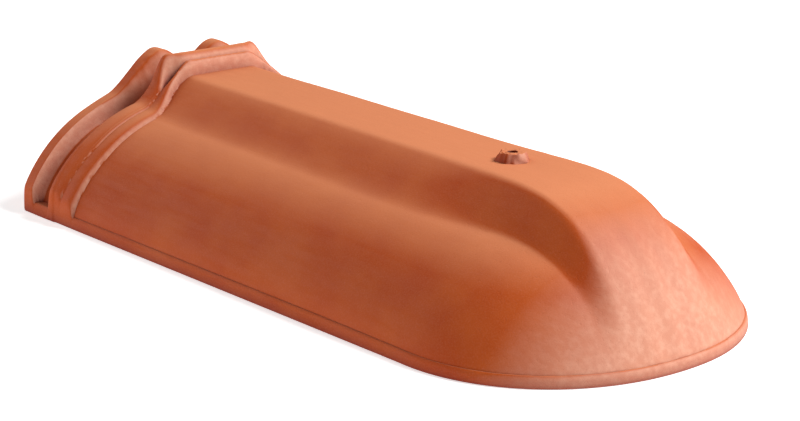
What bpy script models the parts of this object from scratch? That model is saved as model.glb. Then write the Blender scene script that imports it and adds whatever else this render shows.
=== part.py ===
"""Hip starter tile of pressed clay: a ridge tile with a flat crown and a closed, rounded nose.

One fired piece. The rear end carries the interlock that the next tile laps over: a rear rib with
two raised ears, a channel, and a double bead. A screw boss stands on the crown, near the nose.
Work is done in tile space, where x runs from 0 at the rear end to TILE_LENGTH at the tip of the
nose, y is 0 on the centre line and z is 0 on the underside of the rim.
"""

import math

import bmesh
import bpy
from mathutils import Matrix, Vector

MM = 0.001

# Plan of the rim
TILE_LENGTH = 480 * MM
REAR_WIDTH = 251.4 * MM
NOSE_WIDTH = 221 * MM
NOSE_LENGTH = 103 * MM
NOSE_POWER = 2.12
FLANGE_STEP = 0.6 * MM
FLANGE_STEP_END = 34 * MM

# Rim and wall
RIM_HEIGHT = 8 * MM
NOSE_RIM_HEIGHT = 7 * MM
RIM_LEDGE = 2.2 * MM
RIM_DRAFT = 1 * MM
WALL = 13 * MM

# Skirt, the low convex shell under the crown
SKIRT_HEIGHT = 69 * MM
NOSE_SKIRT_HEIGHT = 64 * MM
SKIRT_POWER = 3.0
SKIRT_EDGE_POWER = 0.77
NOSE_EDGE_POWER = 0.86

# Crown, the flat band along the top
CROWN_HEIGHT = 85.5 * MM
CROWN_HALF_WIDTH = 25 * MM
NOSE_CROWN_HALF_WIDTH = 30 * MM
CROWN_EDGE_RADIUS = 3 * MM
CROWN_WALL_WIDTH = 35 * MM
NOSE_CROWN_WALL_WIDTH = 14 * MM
CROWN_FALL_LENGTH = 131 * MM
CROWN_FALL_POWER = 3.6

# The nose's own sizes come in over this stretch, measured from where the nose begins
NOSE_BLEND_BEFORE = 80 * MM
NOSE_BLEND_AFTER = 60 * MM

# Interlock, measured from the rear end
REAR_RIB_TOP = 8.5 * MM
REAR_RIB_SLOPE = 5 * MM
REAR_RIB_RISE = 4.5 * MM
REAR_EAR_TOP = 8 * MM
REAR_EAR_SLOPE = 17 * MM
REAR_EAR_RISE = 11.3 * MM
REAR_EAR_OUT = 30 * MM
REAR_EAR_INNER_SPREAD = 19.4 * MM
REAR_EAR_OUTER_SPREAD = 24 * MM
REAR_SADDLE_RISE = 1 * MM
CHANNEL_DEPTH = 3 * MM
FLANK_CHANNEL_DEPTH = 5 * MM
CHANNEL_END = 27 * MM
BEAD_START = 31 * MM
BEAD_END = 48 * MM
FLANK_BEAD_END = 58.5 * MM
RIM_BEAD_END = 56 * MM
BEAD_BASE_RISE = 6.5 * MM
FLANK_BEAD_BASE_RISE = 2.4 * MM
RIM_BEAD_BASE_RISE = 3 * MM
BACK_BEAD_RISE = 6.9 * MM
FLANK_BACK_BEAD_RISE = 3.2 * MM
BACK_BEAD_AT = 36.5 * MM
FLANK_BACK_BEAD_AT = 38 * MM
RIM_BACK_BEAD_AT = 34 * MM
BACK_BEAD_HALF = 6 * MM
FLANK_BACK_BEAD_HALF = 8.5 * MM
FRONT_BEAD_RISE = 3 * MM
FLANK_FRONT_BEAD_RISE = 1.4 * MM
FRONT_BEAD_HALF = 3 * MM
FLANK_FRONT_BEAD_HALF = 7 * MM
CORNER_RISE = 6 * MM
CORNER_OUT = 36 * MM
CORNER_SPREAD = 7 * MM
CORNER_SWING = 3 * MM
POCKET_DEPTH = 4 * MM
POCKET_AT = 41 * MM
POCKET_LENGTH = 4.5 * MM
POCKET_SPREAD = 7 * MM
FLANK_START = 30 * MM
FLANK_END = 60 * MM
LOWER_FLANK_START = 92 * MM

# Screw boss and its hole
BOSS_FROM_REAR = 341 * MM
BOSS_BASE_RADIUS = 9.6 * MM
BOSS_TOP_RADIUS = 7.2 * MM
BOSS_RISE = 5 * MM
BOSS_SIDES = 24
BOSS_SINK = 4 * MM
HOLE_RADIUS = 3.2 * MM
HOLE_SIDES = 24

# Fineness of the faceted surface
INTERLOCK_STEP = 2.4 * MM
INTERLOCK_END = 67 * MM
STRAIGHT_STATIONS = 4
NOSE_STATIONS = 11
FLANK_COLUMNS = 20
CROWN_COLUMNS = 6
INNER_STRAIGHT_STATIONS = 6
INNER_NOSE_STATIONS = 8
INNER_FLANK_COLUMNS = 13
INNER_CROWN_COLUMNS = 3
CUT_MARGIN = 10 * MM
WELD = 0.01 * MM

# The nose's side stations end here, and the crown's columns run on down to the rim
LAST_EDGE_FROM_TIP = 28 * MM
LAST_OUTLINE_SHARE = 1.17

NOSE_START = TILE_LENGTH - NOSE_LENGTH

CLAY_COLOUR = (0.52, 0.17, 0.065, 1.0)
CLAY_ROUGHNESS = 0.8


def mix(a, b, share):
    return a + (b - a) * share


def clamp(value):
    return min(1.0, max(0.0, value))


def ease(low, high, value):
    """0 below low, 1 above high, and a smooth step between them."""
    t = clamp((value - low) / (high - low))
    return t * t * (3 - 2 * t)


def arch(value, centre, half_width):
    """A rounded hump of height 1, centred on a value."""
    return math.sqrt(max(0.0, 1 - ((value - centre) / half_width) ** 2))


def hump(value, centre, spread):
    """A soft hump of height 1, centred on a value, that never quite ends."""
    return math.exp(-(((value - centre) / spread) ** 2))


def nose_share(x):
    return ease(NOSE_START - NOSE_BLEND_BEFORE, NOSE_START + NOSE_BLEND_AFTER, x)


def half_width(x):
    """Half the rim's width. The tile narrows evenly from the rear to where the nose begins."""
    straight = mix(REAR_WIDTH, NOSE_WIDTH, min(1.0, x / NOSE_START)) / 2
    return straight + (FLANGE_STEP if x < FLANGE_STEP_END else 0.0)


def crown_half_width(x):
    return mix(CROWN_HALF_WIDTH, NOSE_CROWN_HALF_WIDTH, nose_share(x))


def plan_ratio(x, y, inset):
    """0 on the spine and 1 on the rim's outline moved inwards by inset."""
    across = abs(y) / (half_width(x) - inset)
    if x <= NOSE_START:
        return across
    along = (x - NOSE_START) / (NOSE_LENGTH - inset)
    return (along**NOSE_POWER + across**NOSE_POWER) ** (1 / NOSE_POWER)


def shell_height(ratio, foot, top, edge_power):
    """The skirt's height, from foot at the rim to top on the spine."""
    return foot + (top - foot) * max(0.0, 1 - ratio**SKIRT_POWER) ** edge_power


def crown_fall(x, y, inset):
    """1 along the straight crown, falling to 0 at the rim as the crown runs down the nose."""
    across = clamp(abs(y) / (NOSE_WIDTH / 2))
    lag = NOSE_LENGTH * (1 - (1 - across**NOSE_POWER) ** (1 / NOSE_POWER))
    start = TILE_LENGTH - CROWN_FALL_LENGTH
    share = clamp((x + lag - start) / (CROWN_FALL_LENGTH - inset))
    return 1 - share**CROWN_FALL_POWER


def crown_blend(x, y):
    """1 on the flat crown and 0 where its concave side has run out into the skirt."""
    beyond = abs(y) - crown_half_width(x)
    if beyond < -CROWN_EDGE_RADIUS:
        return 1.0
    if beyond < CROWN_EDGE_RADIUS:
        beyond = (beyond + CROWN_EDGE_RADIUS) ** 2 / (4 * CROWN_EDGE_RADIUS)
    width = mix(CROWN_WALL_WIDTH, NOSE_CROWN_WALL_WIDTH, nose_share(x))
    t = clamp(beyond / width)
    return (1 - t) ** 2 * (1 + t)


def rear_ear(out):
    """1 at an ear's middle. It falls quickly towards the crown and slowly down the flank."""
    if out < REAR_EAR_OUT:
        return math.exp(-(((REAR_EAR_OUT - out) / REAR_EAR_INNER_SPREAD) ** 4))
    return hump(out, REAR_EAR_OUT, REAR_EAR_OUTER_SPREAD)


def rear_rib(x, y):
    """Rise of the rib along the rear edge, highest at the two ears, and of the channel in front of it."""
    out = abs(y)
    ear = rear_ear(out)
    side = REAR_SADDLE_RISE if out < REAR_EAR_OUT else REAR_RIB_RISE
    top = mix(REAR_RIB_TOP, REAR_EAR_TOP, ear)
    slope = mix(REAR_RIB_SLOPE, REAR_EAR_SLOPE, ear)
    depth = mix(CHANNEL_DEPTH, FLANK_CHANNEL_DEPTH, ease(FLANK_START, FLANK_END, out))
    return mix(mix(side, REAR_EAR_RISE, ear), -depth, ease(top, top + slope, x))


def double_bead(x, y):
    """Rise of the two beads in front of the channel. They spread as they run down the flank."""
    out = abs(y)
    flank = ease(FLANK_START, FLANK_END, out)
    lower = ease(LOWER_FLANK_START, REAR_WIDTH / 2, out)
    end = mix(mix(BEAD_END, FLANK_BEAD_END, flank), RIM_BEAD_END, lower)
    if x < CHANNEL_END or x > end:
        return 0.0
    corner = hump(out, CORNER_OUT, CORNER_SPREAD)
    front_half = mix(FRONT_BEAD_HALF, FLANK_FRONT_BEAD_HALF, flank)
    front = arch(x, end - front_half, front_half)
    base = front if x > end - front_half else ease(CHANNEL_END, BEAD_START, x)
    base_rise = mix(mix(BEAD_BASE_RISE, FLANK_BEAD_BASE_RISE, flank), RIM_BEAD_BASE_RISE, lower)
    back_at = mix(mix(BACK_BEAD_AT, FLANK_BACK_BEAD_AT, flank), RIM_BACK_BEAD_AT, lower) - CORNER_SWING * corner
    back = arch(x, back_at, mix(BACK_BEAD_HALF, FLANK_BACK_BEAD_HALF, flank))
    back_rise = mix(BACK_BEAD_RISE, FLANK_BACK_BEAD_RISE, flank) + CORNER_RISE * corner
    front_rise = mix(FRONT_BEAD_RISE, FLANK_FRONT_BEAD_RISE, flank)
    pocket = POCKET_DEPTH * hump(x, POCKET_AT, POCKET_LENGTH) * hump(out, CORNER_OUT, POCKET_SPREAD)
    return base * base_rise + back * back_rise + front * front_rise - pocket


def interlock_rise(x, y):
    """How far the interlock stands out of the plain surface, less than 0 in the channel."""
    if x > FLANK_BEAD_END:
        return 0.0
    return rear_rib(x, y) * (1 - ease(CHANNEL_END, BEAD_START, x)) + double_bead(x, y)


def outer_height(x, y):
    """Height of the visible surface over a point of the plan."""
    rise = interlock_rise(x, y)
    share = nose_share(x)
    foot = mix(RIM_HEIGHT, NOSE_RIM_HEIGHT, share)
    top = mix(SKIRT_HEIGHT, NOSE_SKIRT_HEIGHT, share) + rise
    edge_power = mix(SKIRT_EDGE_POWER, NOSE_EDGE_POWER, share)
    skirt = shell_height(plan_ratio(x, y, RIM_LEDGE - rise), foot, top, edge_power)
    crown = foot + (CROWN_HEIGHT + rise - foot) * crown_fall(x, y, RIM_LEDGE)
    return skirt + max(0.0, crown - skirt) * crown_blend(x, y)


def inner_height(x, y):
    """Height of the hollow's surface, one wall inside the plain outer surface."""
    share = nose_share(x)
    top = mix(SKIRT_HEIGHT, NOSE_SKIRT_HEIGHT, share) - WALL
    edge_power = mix(SKIRT_EDGE_POWER, NOSE_EDGE_POWER, share)
    inset = RIM_LEDGE + WALL
    skirt = shell_height(plan_ratio(x, y, inset), 0.0, top, edge_power)
    crown = (CROWN_HEIGHT - WALL) * crown_fall(x, y, inset)
    return skirt + max(0.0, crown - skirt) * crown_blend(x, abs(y) + WALL / 2)


def spread(count):
    """Shares from 0 to 1, closer together near both ends."""
    return [(1 - math.cos(math.pi * i / count)) / 2 for i in range(count + 1)]


def outline_point(turn, inset):
    """A point of the nose's outline. turn is 0 at its side and 1 at its tip."""
    angle = turn * math.pi / 2
    along = (NOSE_LENGTH - inset) * math.sin(angle) ** (2 / NOSE_POWER)
    across = (NOSE_WIDTH / 2 - inset) * max(0.0, math.cos(angle)) ** (2 / NOSE_POWER)
    return Vector((NOSE_START + along, across))


def plan_lines(straight, nose_count, inset):
    """Pairs of plan points, one on the outline and one on the crown's edge, from the rear to the nose."""
    pairs = []
    for x in straight:
        rim = Vector((x, half_width(max(x, 0.0)) - inset))
        pairs.append((rim, Vector((x, crown_half_width(x)))))
    last_x = TILE_LENGTH - inset - LAST_EDGE_FROM_TIP
    last_across = LAST_OUTLINE_SHARE * crown_half_width(last_x) / (NOSE_WIDTH / 2 - inset)
    last_turn = math.acos(last_across ** (NOSE_POWER / 2)) / (math.pi / 2)
    for i in range(1, nose_count + 1):
        edge_x = mix(NOSE_START, last_x, i / nose_count)
        rim = outline_point(last_turn * i / nose_count, inset)
        pairs.append((rim, Vector((edge_x, crown_half_width(edge_x)))))
    return pairs, last_turn


def lay_grid(bm, columns, rows, place):
    """A grid whose point (column, row) is put where place says."""
    made = bmesh.ops.create_grid(bm, x_segments=columns, y_segments=rows, size=0.5)
    for vert in made["verts"]:
        vert.co = place(round((vert.co.x + 0.5) * columns), round((vert.co.y + 0.5) * rows))


def close_flat(bm, axis, value):
    """One flat face over the open edges that lie in a plane."""
    edges = [e for e in bm.edges if e.is_boundary and all(abs(v.co[axis] - value) < WELD for v in e.verts)]
    bmesh.ops.contextual_create(bm, geom=edges)


def bell_solid(name, height, straight, nose_count, flank_count, crown_count, inset, floor):
    """A closed solid under a height function: half of it is laid as two grids, mirrored, and closed flat.

    Column 0 of the flank's grid is the foot of the rim, column 1 is the top of the rim's face,
    and column 2 is where the skirt starts. An inset solid has no ledge.
    """
    lines, last_turn = plan_lines(straight, nose_count, inset)
    steps = [0.0, 0.0] + spread(flank_count - 2)
    ledge, draft = (RIM_LEDGE, RIM_DRAFT) if inset == 0.0 else (0.0, 0.0)

    def between(rim, edge, column):
        inward = (edge - rim).normalized()
        if column == 0:
            return rim
        if column == 1:
            return rim + inward * draft
        return (rim + inward * ledge).lerp(edge, steps[column])

    def raised(point, column):
        return Vector((point.x, point.y, floor if column == 0 else height(point.x, point.y)))

    def place_flank(column, row):
        return raised(between(*lines[row], column), column)

    def place_crown(column, row):
        across = column / crown_count
        column_below = flank_count - max(0, row - len(lines) + 1)
        rim, edge = lines[min(row, len(lines) - 1)]
        if row >= len(lines) and column < crown_count:
            rim = outline_point(mix(1.0, last_turn, across), inset)
        return raised(between(rim, Vector((edge.x, edge.y * across)), column_below), column_below)

    bm = bmesh.new()
    lay_grid(bm, flank_count, len(lines) - 1, place_flank)
    lay_grid(bm, crown_count, len(lines) - 1 + flank_count, place_crown)
    bmesh.ops.remove_doubles(bm, verts=bm.verts, dist=WELD)
    bmesh.ops.mirror(bm, geom=bm.verts[:] + bm.edges[:] + bm.faces[:], axis="Y", merge_dist=WELD)
    bmesh.ops.remove_doubles(bm, verts=bm.verts, dist=WELD)
    close_flat(bm, 0, straight[0])
    close_flat(bm, 2, floor)
    bmesh.ops.recalc_face_normals(bm, faces=bm.faces)
    mesh = bpy.data.meshes.new(name)
    bm.to_mesh(mesh)
    bm.free()
    return bpy.data.objects.new(name, mesh)


def outer_body():
    interlock = int(INTERLOCK_END / INTERLOCK_STEP)
    straight = [INTERLOCK_END * i / interlock for i in range(interlock)]
    straight += [mix(INTERLOCK_END, NOSE_START, i / STRAIGHT_STATIONS) for i in range(STRAIGHT_STATIONS + 1)]
    return bell_solid(
        "ridge_tile", outer_height, straight, NOSE_STATIONS, FLANK_COLUMNS, CROWN_COLUMNS, 0.0, 0.0
    )


def hollow_cutter():
    count = INNER_STRAIGHT_STATIONS
    straight = [mix(-CUT_MARGIN, NOSE_START, i / count) for i in range(count + 1)]
    return bell_solid(
        "hollow_cutter",
        inner_height,
        straight,
        INNER_NOSE_STATIONS,
        INNER_FLANK_COLUMNS,
        INNER_CROWN_COLUMNS,
        RIM_LEDGE + WALL,
        -CUT_MARGIN,
    )


def cone_object(name, sides, bottom_radius, top_radius, low, high):
    """A cone or cylinder over the boss's place on the crown, from low to high."""
    bm = bmesh.new()
    bmesh.ops.create_cone(
        bm,
        cap_ends=True,
        segments=sides,
        radius1=bottom_radius,
        radius2=top_radius,
        depth=high - low,
        matrix=Matrix.Translation((BOSS_FROM_REAR, 0.0, (low + high) / 2)),
    )
    mesh = bpy.data.meshes.new(name)
    bm.to_mesh(mesh)
    bm.free()
    return bpy.data.objects.new(name, mesh)


def add_boolean(obj, other, operation):
    modifier = obj.modifiers.new(operation.title() + "_" + other.name, "BOOLEAN")
    modifier.operation = operation
    modifier.solver = "EXACT"
    modifier.object = other


def clay_material():
    material = bpy.data.materials.new("fired_clay")
    material.use_nodes = True
    shader = material.node_tree.nodes["Principled BSDF"]
    shader.inputs["Base Color"].default_value = CLAY_COLOUR
    shader.inputs["Roughness"].default_value = CLAY_ROUGHNESS
    shader.inputs["Metallic"].default_value = 0.0
    return material


def new_collection(name):
    collection = bpy.data.collections.new(name)
    bpy.context.scene.collection.children.link(collection)
    return collection


def build():
    for obj in list(bpy.data.objects):
        bpy.data.objects.remove(obj)
    parts = new_collection("hip_starter_tile")
    cutters = new_collection("cutters")

    tile = outer_body()
    tile.data.materials.append(clay_material())
    parts.objects.link(tile)

    boss_low = CROWN_HEIGHT - BOSS_SINK
    boss_top = CROWN_HEIGHT + BOSS_RISE
    low_radius = BOSS_BASE_RADIUS + (BOSS_BASE_RADIUS - BOSS_TOP_RADIUS) * BOSS_SINK / BOSS_RISE
    boss = cone_object("boss_add", BOSS_SIDES, low_radius, BOSS_TOP_RADIUS, boss_low, boss_top)
    hole_low = CROWN_HEIGHT - 2 * WALL
    hole_top = boss_top + CUT_MARGIN
    hole = cone_object("hole_cutter", HOLE_SIDES, HOLE_RADIUS, HOLE_RADIUS, hole_low, hole_top)
    for helper, operation in (
        (hollow_cutter(), "DIFFERENCE"),
        (boss, "UNION"),
        (hole, "DIFFERENCE"),
    ):
        cutters.objects.link(helper)
        helper.hide_render = True
        helper.display_type = "WIRE"
        add_boolean(tile, helper, operation)

    # The model's own origin is on the ground under the middle of the tile's length
    for obj in [tile, *cutters.objects]:
        obj.location.x = -TILE_LENGTH / 2
    tile.data.shade_smooth()


build()
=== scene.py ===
import math

import bmesh
import bpy
from mathutils import Matrix, Vector, noise


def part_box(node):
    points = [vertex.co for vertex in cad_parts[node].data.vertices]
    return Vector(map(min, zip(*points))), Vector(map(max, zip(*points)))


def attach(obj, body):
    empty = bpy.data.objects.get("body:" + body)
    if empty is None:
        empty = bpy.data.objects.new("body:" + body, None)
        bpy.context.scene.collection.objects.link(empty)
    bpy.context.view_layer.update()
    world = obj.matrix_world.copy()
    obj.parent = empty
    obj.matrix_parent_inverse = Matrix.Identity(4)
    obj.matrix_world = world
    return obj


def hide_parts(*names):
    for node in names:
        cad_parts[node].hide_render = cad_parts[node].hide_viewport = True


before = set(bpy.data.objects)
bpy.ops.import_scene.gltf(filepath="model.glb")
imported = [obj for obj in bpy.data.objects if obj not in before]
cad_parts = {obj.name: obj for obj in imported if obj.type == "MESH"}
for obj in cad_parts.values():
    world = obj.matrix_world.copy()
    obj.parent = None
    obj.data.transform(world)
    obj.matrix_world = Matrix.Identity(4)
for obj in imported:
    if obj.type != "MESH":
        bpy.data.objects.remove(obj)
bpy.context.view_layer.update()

low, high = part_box("ridge_tile")
mm = 0.001

# Work is done in tile space: x from the lapped rear end, y from the centre line, z from the ground
tile = {
    "length": high[0] - low[0],
    "rearWidth": (high[1] - low[1]) - 1.2 * mm,  # without the wider flange at the rear
    "noseWidth": 221 * mm,
    "noseLength": 103 * mm,
    "nosePower": 2.12,
    "flangeStep": 0.6 * mm,
    "flangeEnd": 34 * mm,
    "flangeBlend": 2 * mm,
    "rim": 8 * mm,
    "noseRim": 7 * mm,
    "ledge": 2.2 * mm,
    "draft": 1 * mm,
    "wall": 13 * mm,
    "skirt": 69 * mm,
    "noseSkirt": 64 * mm,
    "skirtPower": 3.0,
    "edgePower": 0.77,
    "noseEdgePower": 0.86,
    "crown": 85.5 * mm,
    "crownHalf": 25 * mm,
    "noseCrownHalf": 30 * mm,
    "crownEdge": 3 * mm,
    "crownSide": 35 * mm,
    "noseCrownSide": 14 * mm,
    "fallLength": 131 * mm,
    "fallPower": 3.6,
    "blendBefore": 80 * mm,
    "blendAfter": 60 * mm,
}
tile["noseStart"] = tile["length"] - tile["noseLength"]

# Ribs of the lap end, measured from the rear
lap = {
    "ribTop": 8.5 * mm,
    "ribSlope": 5 * mm,
    "ribRise": 4.5 * mm,
    "earTop": 8 * mm,
    "earSlope": 17 * mm,
    "earRise": 11.3 * mm,
    "earOut": 30 * mm,
    "earInner": 19.4 * mm,
    "earOuter": 24 * mm,
    "saddleRise": 1 * mm,
    "channel": 5 * mm,
    "crownChannel": 3 * mm,
    "channelEnd": 27 * mm,
    "beadStart": 31 * mm,
    "end": 48 * mm,
    "flankEnd": 58.5 * mm,
    "rimEnd": 56 * mm,
    "baseRise": 6.5 * mm,
    "flankBase": 2.4 * mm,
    "rimBase": 3 * mm,
    "backRise": 6.9 * mm,
    "flankBack": 3.2 * mm,
    "backAt": 36.5 * mm,
    "flankBackAt": 38 * mm,
    "rimBackAt": 34 * mm,
    "backHalf": 6 * mm,
    "flankBackHalf": 8.5 * mm,
    "frontRise": 3 * mm,
    "flankFront": 1.4 * mm,
    "frontHalf": 3 * mm,
    "flankFrontHalf": 7 * mm,
    "cornerRise": 6 * mm,
    "cornerOut": 36 * mm,
    "cornerSpread": 7 * mm,
    "cornerSwing": 3 * mm,
    "pocketDepth": 4 * mm,
    "pocketAt": 41 * mm,
    "pocketLength": 4.5 * mm,
    "pocketSpread": 7 * mm,
    "flankFrom": 30 * mm,
    "flankTo": 60 * mm,
    "lowerFrom": 92 * mm,
}


def mix(a, b, share):
    return a + (b - a) * share


def clamp(value):
    return min(1.0, max(0.0, value))


def ease(start, stop, value):
    t = clamp((value - start) / (stop - start))
    return t * t * (3 - 2 * t)


def arch(value, centre, half):
    return math.sqrt(max(0.0, 1 - ((value - centre) / half) ** 2))


def hump(value, centre, spread):
    return math.exp(-(((value - centre) / spread) ** 2))


def noseShare(x):
    start = tile["noseStart"]
    return ease(start - tile["blendBefore"], start + tile["blendAfter"], x)


def halfWidth(x):
    straight = mix(tile["rearWidth"], tile["noseWidth"], min(1.0, x / tile["noseStart"])) / 2
    end = tile["flangeEnd"]
    return straight + tile["flangeStep"] * (1 - ease(end, end + tile["flangeBlend"], x))


def crownHalf(x):
    return mix(tile["crownHalf"], tile["noseCrownHalf"], noseShare(x))


def planRatio(x, y, inset):  # 0 on the spine, 1 on the rim
    across = abs(y) / (halfWidth(x) - inset)
    if x <= tile["noseStart"]:
        return across
    along = (x - tile["noseStart"]) / (tile["noseLength"] - inset)
    power = tile["nosePower"]
    return (along**power + across**power) ** (1 / power)


def shellHeight(ratio, foot, top, edgePower):
    return foot + (top - foot) * max(0.0, 1 - ratio ** tile["skirtPower"]) ** edgePower


def crownFall(x, y, inset):
    power = tile["nosePower"]
    across = clamp(abs(y) / (tile["noseWidth"] / 2))
    lag = tile["noseLength"] * (1 - (1 - across**power) ** (1 / power))
    start = tile["length"] - tile["fallLength"]
    share = clamp((x + lag - start) / (tile["fallLength"] - inset))
    return 1 - share ** tile["fallPower"]


def crownBlend(x, y):  # 1 on the flat crown, 0 where its side has run out into the skirt
    edge = tile["crownEdge"]
    beyond = abs(y) - crownHalf(x)
    if beyond < -edge:
        return 1.0
    if beyond < edge:
        beyond = (beyond + edge) ** 2 / (4 * edge)
    t = clamp(beyond / mix(tile["crownSide"], tile["noseCrownSide"], noseShare(x)))
    return (1 - t) ** 2 * (1 + t)


def rearRib(x, y):
    out = abs(y)
    if out < lap["earOut"]:
        side, ear = lap["saddleRise"], math.exp(-(((lap["earOut"] - out) / lap["earInner"]) ** 4))
    else:
        side, ear = lap["ribRise"], hump(out, lap["earOut"], lap["earOuter"])
    top = mix(lap["ribTop"], lap["earTop"], ear)
    slope = mix(lap["ribSlope"], lap["earSlope"], ear)
    depth = mix(lap["crownChannel"], lap["channel"], ease(lap["flankFrom"], lap["flankTo"], out))
    return mix(mix(side, lap["earRise"], ear), -depth, ease(top, top + slope, x))


def doubleBead(x, y):
    out = abs(y)
    flank = ease(lap["flankFrom"], lap["flankTo"], out)
    lower = ease(lap["lowerFrom"], tile["rearWidth"] / 2, out)
    end = mix(mix(lap["end"], lap["flankEnd"], flank), lap["rimEnd"], lower)
    if x < lap["channelEnd"] or x > end:
        return 0.0
    corner = hump(out, lap["cornerOut"], lap["cornerSpread"])
    frontHalf = mix(lap["frontHalf"], lap["flankFrontHalf"], flank)
    front = arch(x, end - frontHalf, frontHalf)
    base = front if x > end - frontHalf else ease(lap["channelEnd"], lap["beadStart"], x)
    baseRise = mix(mix(lap["baseRise"], lap["flankBase"], flank), lap["rimBase"], lower)
    backAt = mix(mix(lap["backAt"], lap["flankBackAt"], flank), lap["rimBackAt"], lower)
    backAt -= lap["cornerSwing"] * corner
    back = arch(x, backAt, mix(lap["backHalf"], lap["flankBackHalf"], flank))
    backRise = mix(lap["backRise"], lap["flankBack"], flank) + lap["cornerRise"] * corner
    frontRise = mix(lap["frontRise"], lap["flankFront"], flank)
    pocket = lap["pocketDepth"] * hump(x, lap["pocketAt"], lap["pocketLength"])
    pocket *= hump(out, lap["cornerOut"], lap["pocketSpread"])
    return base * baseRise + back * backRise + front * frontRise - pocket


def lapRise(x, y):  # how far the lap end stands out of the plain shell
    if x > lap["flankEnd"]:
        return 0.0
    return rearRib(x, y) * (1 - ease(lap["channelEnd"], lap["beadStart"], x)) + doubleBead(x, y)


def outerHeight(x, y):
    rise = lapRise(x, y)
    share = noseShare(x)
    foot = mix(tile["rim"], tile["noseRim"], share)
    top = mix(tile["skirt"], tile["noseSkirt"], share) + rise
    edgePower = mix(tile["edgePower"], tile["noseEdgePower"], share)
    skirt = shellHeight(planRatio(x, y, tile["ledge"] - rise), foot, top, edgePower)
    crown = foot + (tile["crown"] + rise - foot) * crownFall(x, y, tile["ledge"])
    return skirt + max(0.0, crown - skirt) * crownBlend(x, y)


# Low relief left by the press and by handling
relief = {
    "wave": 0.35 * mm,
    "waveSize": 70 * mm,
    "lump": 0.12 * mm,
    "lumpSize": 9 * mm,
    "wrinkle": 0.8 * mm,
    "wrinkleSize": 6.5 * mm,
    "wrinkleAt": 15 * mm,
    "wrinkleLength": 11 * mm,
    "wrinkleOut": 40 * mm,
    "wrinkleSpread": 14 * mm,
    "wrinkleStretch": 2.5,
    "wrinkleSlice": 0.3,
    "wrinkleLeast": 0.02,
    "bandRough": 0.35 * mm,
    "bandSize": 2.2 * mm,
    "flute": 0.55 * mm,
    "fluteSpacing": 19 * mm,
    "fluteFrom": 400 * mm,
    "fluteTo": 470 * mm,
    "fadeColumns": 6,
}


def pressedRelief(x, y):
    place = Vector((x, y, 0.0))
    out = abs(y)
    rise = relief["wave"] * noise.noise(place / relief["waveSize"])
    rise += relief["lump"] * noise.noise(place / relief["lumpSize"])
    wrinkle = hump(x, relief["wrinkleAt"], relief["wrinkleLength"])
    wrinkle *= hump(out, relief["wrinkleOut"], relief["wrinkleSpread"])
    if wrinkle > relief["wrinkleLeast"]:
        folds = Vector((x / relief["wrinkleStretch"], y, relief["wrinkleSlice"])) / relief["wrinkleSize"]
        rise += relief["wrinkle"] * wrinkle * noise.noise(folds * 2)
    if lap["pocketAt"] < x < lap["end"] and out < lap["earOut"]:
        rise += relief["bandRough"] * noise.noise(place / relief["bandSize"])
    fluted = ease(relief["fluteFrom"], relief["fluteTo"], x)
    if fluted > 0:
        across = math.cos(2 * math.pi * y / relief["fluteSpacing"]) * hump(out, 0.0, tile["crownHalf"])
        rise += relief["flute"] * fluted * across
    return rise


def innerHeight(x, y):
    share = noseShare(x)
    top = mix(tile["skirt"], tile["noseSkirt"], share) - tile["wall"]
    edgePower = mix(tile["edgePower"], tile["noseEdgePower"], share)
    inset = tile["ledge"] + tile["wall"]
    skirt = shellHeight(planRatio(x, y, inset), 0.0, top, edgePower)
    crown = (tile["crown"] - tile["wall"]) * crownFall(x, y, inset)
    return skirt + max(0.0, crown - skirt) * crownBlend(x, abs(y) + tile["wall"] / 2)


# How finely the two skins are laid, and where the nose's side rows stop
mesh = {
    "lapStep": 0.8 * mm,
    "lapLength": 67 * mm,
    "straightRows": 56,
    "noseRows": 60,
    "flankColumns": 96,
    "crownColumns": 26,
    "innerStraightRows": 20,
    "innerNoseRows": 20,
    "innerFlankColumns": 36,
    "innerCrownColumns": 8,
    "cutMargin": 10 * mm,
    "weld": 0.005 * mm,
    "lastEdgeFromTip": 28 * mm,
    "lastOutline": 1.17,
}


def spread(count):
    return [(1 - math.cos(math.pi * i / count)) / 2 for i in range(count + 1)]


def outlinePoint(turn, inset):
    angle = turn * math.pi / 2
    power = 2 / tile["nosePower"]
    along = (tile["noseLength"] - inset) * math.sin(angle) ** power
    across = (tile["noseWidth"] / 2 - inset) * max(0.0, math.cos(angle)) ** power
    return Vector((tile["noseStart"] + along, across))


def planLines(straight, noseRows, inset):
    pairs = []
    for x in straight:
        pairs.append((Vector((x, halfWidth(max(x, 0.0)) - inset)), Vector((x, crownHalf(x)))))
    lastX = tile["length"] - inset - mesh["lastEdgeFromTip"]
    across = mesh["lastOutline"] * crownHalf(lastX) / (tile["noseWidth"] / 2 - inset)
    lastTurn = math.acos(across ** (tile["nosePower"] / 2)) / (math.pi / 2)
    for i in range(1, noseRows + 1):
        edgeX = mix(tile["noseStart"], lastX, i / noseRows)
        pairs.append((outlinePoint(lastTurn * i / noseRows, inset), Vector((edgeX, crownHalf(edgeX)))))
    return pairs, lastTurn


def layGrid(bm, columns, rows, place):
    made = bmesh.ops.create_grid(bm, x_segments=columns, y_segments=rows, size=0.5)
    for vert in made["verts"]:
        vert.co = place(round((vert.co.x + 0.5) * columns), round((vert.co.y + 0.5) * rows))


def closeFlat(bm, axis, value):
    edges = [e for e in bm.edges if e.is_boundary and all(abs(v.co[axis] - value) < mm / 20 for v in e.verts)]
    bmesh.ops.contextual_create(bm, geom=edges)


# The rim's own profile, as (inset, share of the rim's height), from the ground up
rimProfile = [
    (0.9 * mm, 0.0), (0.25 * mm, 0.04), (0.0, 0.12), (0.15 * mm, 0.35), (0.35 * mm, 0.6), (0.7 * mm, 0.8),
    (1.2 * mm, 0.93), (1.7 * mm, 1.0),
]


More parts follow.
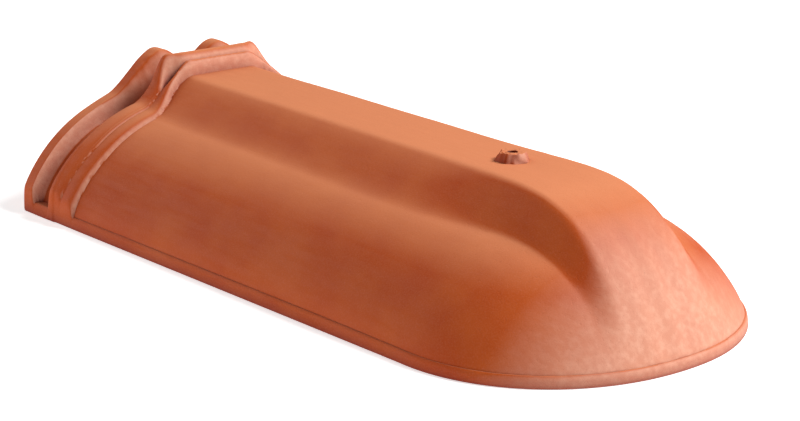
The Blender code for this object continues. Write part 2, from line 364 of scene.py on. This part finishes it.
def bellSkin(height, straight, noseRows, flankColumns, crownColumns, inset, floor, profile):
    lines, lastTurn = planLines(straight, noseRows, inset)
    first = len(profile)
    steps = [0.0] * first + spread(flankColumns - first)
    ledge = tile["ledge"] if inset == 0.0 else 0.0

    def between(rim, edge, column):
        inward = (edge - rim).normalized()
        if column < first:
            return rim + inward * profile[column][0]
        return (rim + inward * ledge).lerp(edge, steps[column])

    def raised(rim, edge, column):
        point = between(rim, edge, column)
        if column == 0:
            return Vector((point.x, point.y, floor))
        if column < first:
            top = between(rim, edge, first - 1)
            return Vector((point.x, point.y, mix(floor, height(top.x, top.y), profile[column][1])))
        shown = ease(first, first + relief["fadeColumns"], column) if inset == 0.0 else 0.0
        rise = pressedRelief(point.x, point.y) * shown if shown > 0 else 0.0
        return Vector((point.x, point.y, height(point.x, point.y) + rise))

    def placeFlank(column, row):
        return raised(*lines[row], column)

    def placeCrown(column, row):
        across = column / crownColumns
        below = flankColumns - max(0, row - len(lines) + 1)
        rim, edge = lines[min(row, len(lines) - 1)]
        if row >= len(lines) and column < crownColumns:
            rim = outlinePoint(mix(1.0, lastTurn, across), inset)
        return raised(rim, Vector((edge.x, edge.y * across)), below)

    bm = bmesh.new()
    layGrid(bm, flankColumns, len(lines) - 1, placeFlank)
    layGrid(bm, crownColumns, len(lines) - 1 + flankColumns, placeCrown)
    bmesh.ops.remove_doubles(bm, verts=bm.verts, dist=mesh["weld"])
    bmesh.ops.mirror(bm, geom=bm.verts[:] + bm.edges[:] + bm.faces[:], axis="Y", merge_dist=mesh["weld"])
    bmesh.ops.remove_doubles(bm, verts=bm.verts, dist=mesh["weld"])
    closeFlat(bm, 0, straight[0])
    closeFlat(bm, 2, floor)
    bmesh.ops.recalc_face_normals(bm, faces=bm.faces)
    return bm


def keepMesh(bm, name):
    data = bpy.data.meshes.new(name)
    bm.to_mesh(data)
    bm.free()
    obj = bpy.data.objects.new(name, data)
    bpy.context.scene.collection.objects.link(obj)
    return obj


def makeOuter():
    count = int(mesh["lapLength"] / mesh["lapStep"])
    straight = [mesh["lapLength"] * i / count for i in range(count)]
    rows = mesh["straightRows"]
    straight += [mix(mesh["lapLength"], tile["noseStart"], i / rows) for i in range(rows + 1)]
    bm = bellSkin(
        outerHeight, straight, mesh["noseRows"], mesh["flankColumns"], mesh["crownColumns"], 0.0, 0.0, rimProfile
    )
    return keepMesh(bm, "ridgeTile")


def makeHollow():
    rows = mesh["innerStraightRows"]
    straight = [mix(-mesh["cutMargin"], tile["noseStart"], i / rows) for i in range(rows + 1)]
    bm = bellSkin(
        innerHeight, straight, mesh["innerNoseRows"], mesh["innerFlankColumns"], mesh["innerCrownColumns"],
        tile["ledge"] + tile["wall"], -mesh["cutMargin"], [(0.0, 0.0), (0.0, 1.0)],
    )
    return keepMesh(bm, "hollowCutter")


boss = {
    "fromRear": 341 * mm,
    "base": 9.6 * mm,
    "top": 7.2 * mm,
    "rise": 5 * mm,
    "sink": 4 * mm,
    "sides": 48,
    "hole": 3.2 * mm,
    "torn": 1.6 * mm,
    "lumpSize": 3.2 * mm,
}


def makeCone(name, bottomRadius, topRadius, lowZ, highZ):
    bm = bmesh.new()
    place = Matrix.Translation((boss["fromRear"], 0.0, (lowZ + highZ) / 2))
    bmesh.ops.create_cone(
        bm, cap_ends=True, segments=boss["sides"], radius1=bottomRadius, radius2=topRadius,
        depth=highZ - lowZ, matrix=place,
    )
    return keepMesh(bm, name)


def makeTornBoss():  # clay pushed up and torn where the hole was punched
    bossTop = tile["crown"] + boss["rise"]
    lowRadius = boss["base"] + (boss["base"] - boss["top"]) * boss["sink"] / boss["rise"]
    cone = makeCone("bossAdd", lowRadius, boss["top"], tile["crown"] - boss["sink"], bossTop)
    bm = bmesh.new()
    bm.from_mesh(cone.data)
    bmesh.ops.inset_region(bm, faces=[f for f in bm.faces if f.normal.z > 0.9], thickness=1.4 * mm)
    bmesh.ops.triangulate(bm, faces=[f for f in bm.faces if len(f.verts) > 4])
    coarse = [e for e in bm.edges if e.calc_length() > 2 * mm]
    bmesh.ops.subdivide_edges(bm, edges=coarse, cuts=3, use_grid_fill=True)
    for vert in bm.verts:
        if vert.co.z > tile["crown"] - boss["sink"] / 2:
            outward = Vector((vert.co.x - boss["fromRear"], vert.co.y, 0.0)).normalized()
            place = vert.co / boss["lumpSize"]
            vert.co += outward * boss["torn"] * noise.noise(place)
            vert.co.z += boss["torn"] / 2 * noise.noise(place * 1.7 + Vector((5, 5, 5)))
    bm.to_mesh(cone.data)
    bm.free()
    return cone


def applyBoolean(obj, other, operation):
    modifier = obj.modifiers.new(operation, "BOOLEAN")
    modifier.operation = operation
    modifier.solver = "EXACT"
    modifier.object = other
    depsgraph = bpy.context.evaluated_depsgraph_get()
    finished = bpy.data.meshes.new_from_object(obj.evaluated_get(depsgraph))
    obj.modifiers.clear()
    obj.data = finished
    bpy.data.objects.remove(other)


def toLinear(code):
    parts = [int(code[i:i + 2], 16) / 255 for i in (1, 3, 5)]
    return [c / 12.92 if c <= 0.04045 else ((c + 0.055) / 1.055) ** 2.4 for c in parts] + [1.0]


def addNode(tree, kind, links=None, **settings):
    node = tree.nodes.new(kind)
    for key, value in settings.items():
        if key in node.bl_rna.properties:
            setattr(node, key, value)
        else:
            node.inputs[key.replace("_", " ")].default_value = value
    for socket, source in (links or {}).items():
        tree.links.new(source, node.inputs[socket])
    return node


# Pressed, unglazed terracotta: iron-red fired clay, dry and matt with a broad soft sheen where the die smoothed
# it, a fine sandy grain, painted light as a pale bloom on what faces up, a painted sheen as a pale colour on
# what faces forward and painted shade as a deeper red in the hollows
clay = {
    # painted shade: this deep red darkens creases and hollows by ambient occlusion; it is also the colour of the
    # dark sand specks
    "hollow": "#7c1c10",
    "body": "#bb4a14",
    "warm": "#c4561c",
    # painted light: the bloom colour lightens what faces up, standing in for the light from above
    "paintedTopLight": "#e29064",
    # painted sheen where this colour lightens what faces forward; it is also the colour of the fine pale grain
    # specks
    "sheenAndDust": "#ecb49a",
    "mottle": 38.0,  # mm
    "streak": 3.5,  # mm across, and ten times as long
    "grain": 0.8,  # mm
    "sand": 0.35,  # mm
    "pore": 1.7,  # mm
}


def makeClay():
    material = bpy.data.materials.new("pressedTerracotta")
    material.use_nodes = True
    tree = material.node_tree
    shader = tree.nodes["Principled BSDF"]
    shader.inputs["IOR"].default_value = 1.5
    shader.inputs["Specular IOR Level"].default_value = 0.2
    where = addNode(tree, "ShaderNodeTexCoord").outputs["Object"]

    def noiseAt(size, detail, vector=where):
        node = addNode(tree, "ShaderNodeTexNoise", {"Vector": vector}, Scale=1 / (size * mm), Detail=detail)
        return node.outputs["Fac"]

    def ranged(value, low, high, least=0.0, most=1.0):
        node = addNode(tree, "ShaderNodeMapRange", {"Value": value})
        for socket, number in (("From Min", low), ("From Max", high), ("To Min", least), ("To Max", most)):
            node.inputs[socket].default_value = number
        return node.outputs["Result"]

    def blended(share, a, b):
        node = addNode(tree, "ShaderNodeMix", data_type="RGBA")
        for socket, value in ((0, share), (6, a), (7, b)):
            if isinstance(value, str):
                node.inputs[socket].default_value = toLinear(value)
            elif isinstance(value, float):
                node.inputs[socket].default_value = value
            else:
                tree.links.new(value, node.inputs[socket])
        return node.outputs[2]

    def times(a, b):
        node = addNode(tree, "ShaderNodeMath", {0: a}, operation="MULTIPLY")
        if isinstance(b, float):
            node.inputs[1].default_value = b
        else:
            tree.links.new(b, node.inputs[1])
        return node.outputs["Value"]

    along = addNode(tree, "ShaderNodeMapping", {"Vector": where})
    along.inputs["Scale"].default_value = (0.1, 1.0, 1.0)
    mottle = ranged(noiseAt(clay["mottle"], 3.0), 0.35, 0.65)
    streak = ranged(noiseAt(clay["streak"], 2.0, along.outputs["Vector"]), 0.4, 0.7)
    grain = noiseAt(clay["grain"], 3.0)
    sand = noiseAt(clay["sand"], 1.0)

    colour = blended(mottle, clay["body"], clay["warm"])
    normal = addNode(tree, "ShaderNodeNewGeometry").outputs["Normal"]
    facing = addNode(tree, "ShaderNodeSeparateXYZ", {"Vector": normal})
    # painted light: surfaces facing up are mixed toward the pale bloom colour
    paintedTopLightShare = ranged(facing.outputs["Z"], 0.75, 0.98)
    # painted sheen: surfaces facing forward, on the nose, are mixed toward the pale colour
    paintedSheenShare = ranged(facing.outputs["X"], 0.45, 0.85)
    colour = blended(times(paintedTopLightShare, 0.8), colour, clay["paintedTopLight"])
    colour = blended(times(times(paintedSheenShare, ranged(streak, 0.0, 1.0, 0.75, 1.0)), 0.75), colour, clay["sheenAndDust"])
    # painted shade: ambient occlusion mixes creases and hollows toward the deep red
    paintedHollowShade = addNode(tree, "ShaderNodeAmbientOcclusion", samples=8)
    paintedHollowShade.inputs["Distance"].default_value = 22 * mm
    colour = blended(ranged(paintedHollowShade.outputs["AO"], 0.85, 0.35, 0.0, 0.85), colour, clay["hollow"])
    # fine pale grain specks, the clay's own colour
    colour = blended(ranged(grain, 0.45, 0.8, 0.0, 0.08), colour, clay["sheenAndDust"])
    # dark sand specks, the clay's own colour
    colour = blended(ranged(sand, 0.6, 0.8, 0.0, 0.3), colour, clay["hollow"])
    tree.links.new(colour, shader.inputs["Base Color"])

    tree.links.new(ranged(streak, 0.0, 1.0, 0.6, 0.72), shader.inputs["Roughness"])
    fine = addNode(tree, "ShaderNodeBump", {"Height": sand}, Strength=0.25, Distance=0.06 * mm)
    grained = {"Height": grain, "Normal": fine.outputs["Normal"]}
    skin = addNode(tree, "ShaderNodeBump", grained, Strength=0.3, Distance=0.15 * mm)
    pores = {"Height": ranged(noiseAt(clay["pore"], 0.0), 0.22, 0.3), "Normal": skin.outputs["Normal"]}
    pitted = addNode(tree, "ShaderNodeBump", pores, Strength=0.3, Distance=0.2 * mm)
    tree.links.new(pitted.outputs["Normal"], shader.inputs["Normal"])
    return material


piece = makeOuter()
print("outer skin", len(piece.data.vertices))
applyBoolean(piece, makeHollow(), "DIFFERENCE")
print("hollow cut", len(piece.data.vertices))
applyBoolean(piece, makeTornBoss(), "UNION")
boreLow, boreHigh = tile["crown"] - 2 * tile["wall"], tile["crown"] + 2 * boss["rise"]
applyBoolean(piece, makeCone("boreCut", boss["hole"], boss["hole"], boreLow, boreHigh), "DIFFERENCE")
piece.data.transform(Matrix.Translation((low[0], 0.0, 0.0)))
piece.data.shade_smooth()
piece.data.set_sharp_from_angle(angle=math.radians(40))
piece.data.materials.clear()
piece.data.materials.append(makeClay())
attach(piece, "root")
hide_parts("ridge_tile")
print("tile", len(piece.data.polygons))

studio = {
    "azimuth": 51.55,
    "elevation": 16.44,
    "lens": 95.43,
    "eye": (0.9648, -0.7666, 0.3962),
    "floor": 6.0,
    "floorColour": "#ffffff",
    "keyFrom": (0.42, 0.5, 0.72),
    "keyFar": 2.2,
    "keySize": 0.9,
    "keyPower": 56.0,
    "fillFrom": (-0.8, -0.45, 0.4),
    "fillFar": 2.4,
    "fillSize": 2.0,
    "fillPower": 21.0,
    "sky": 0.14,
    "floorGlow": 0.55,
}


def aim(obj, place, direction):
    obj.location = place
    obj.rotation_euler = Vector(direction).to_track_quat("Z", "Y").to_euler()


def makeCamera():
    data = bpy.data.cameras.new("camera")
    data.lens = studio["lens"]
    data.sensor_width = 36
    camera = bpy.data.objects.new("camera", data)
    turn, lift = math.radians(studio["azimuth"]), math.radians(studio["elevation"])
    back = (math.sin(turn) * math.cos(lift), -math.cos(turn) * math.cos(lift), math.sin(lift))
    aim(camera, studio["eye"], back)
    bpy.context.scene.collection.objects.link(camera)
    bpy.context.scene.camera = camera


def makeLight(name, direction, far, size, power):
    data = bpy.data.lights.new(name, "AREA")
    data.shape = "DISK"
    data.size = size
    data.energy = power
    light = bpy.data.objects.new(name, data)
    aim(light, Vector(direction).normalized() * far, direction)
    bpy.context.scene.collection.objects.link(light)


def makeFloor():
    bm = bmesh.new()
    bmesh.ops.create_grid(bm, x_segments=1, y_segments=1, size=studio["floor"])
    floor = keepMesh(bm, "floor")
    paper = bpy.data.materials.new("paleFloor")
    paper.use_nodes = True
    shader = paper.node_tree.nodes["Principled BSDF"]
    shader.inputs["Base Color"].default_value = toLinear(studio["floorColour"])
    shader.inputs["Roughness"].default_value = 0.9
    shader.inputs["Emission Color"].default_value = (1, 1, 1, 1)
    shader.inputs["Emission Strength"].default_value = studio["floorGlow"]  # keeps the paper white in the shadow
    floor.data.materials.append(paper)


makeCamera()
makeFloor()
makeLight("key", studio["keyFrom"], studio["keyFar"], studio["keySize"], studio["keyPower"])
makeLight("fill", studio["fillFrom"], studio["fillFar"], studio["fillSize"], studio["fillPower"])
world = bpy.data.worlds.new("studio")
world.use_nodes = True
world.node_tree.nodes["Background"].inputs["Color"].default_value = (1, 1, 1, 1)
world.node_tree.nodes["Background"].inputs["Strength"].default_value = studio["sky"]
bpy.context.scene.world = world
bpy.context.scene.view_settings.view_transform = "Standard"
print("studio set")
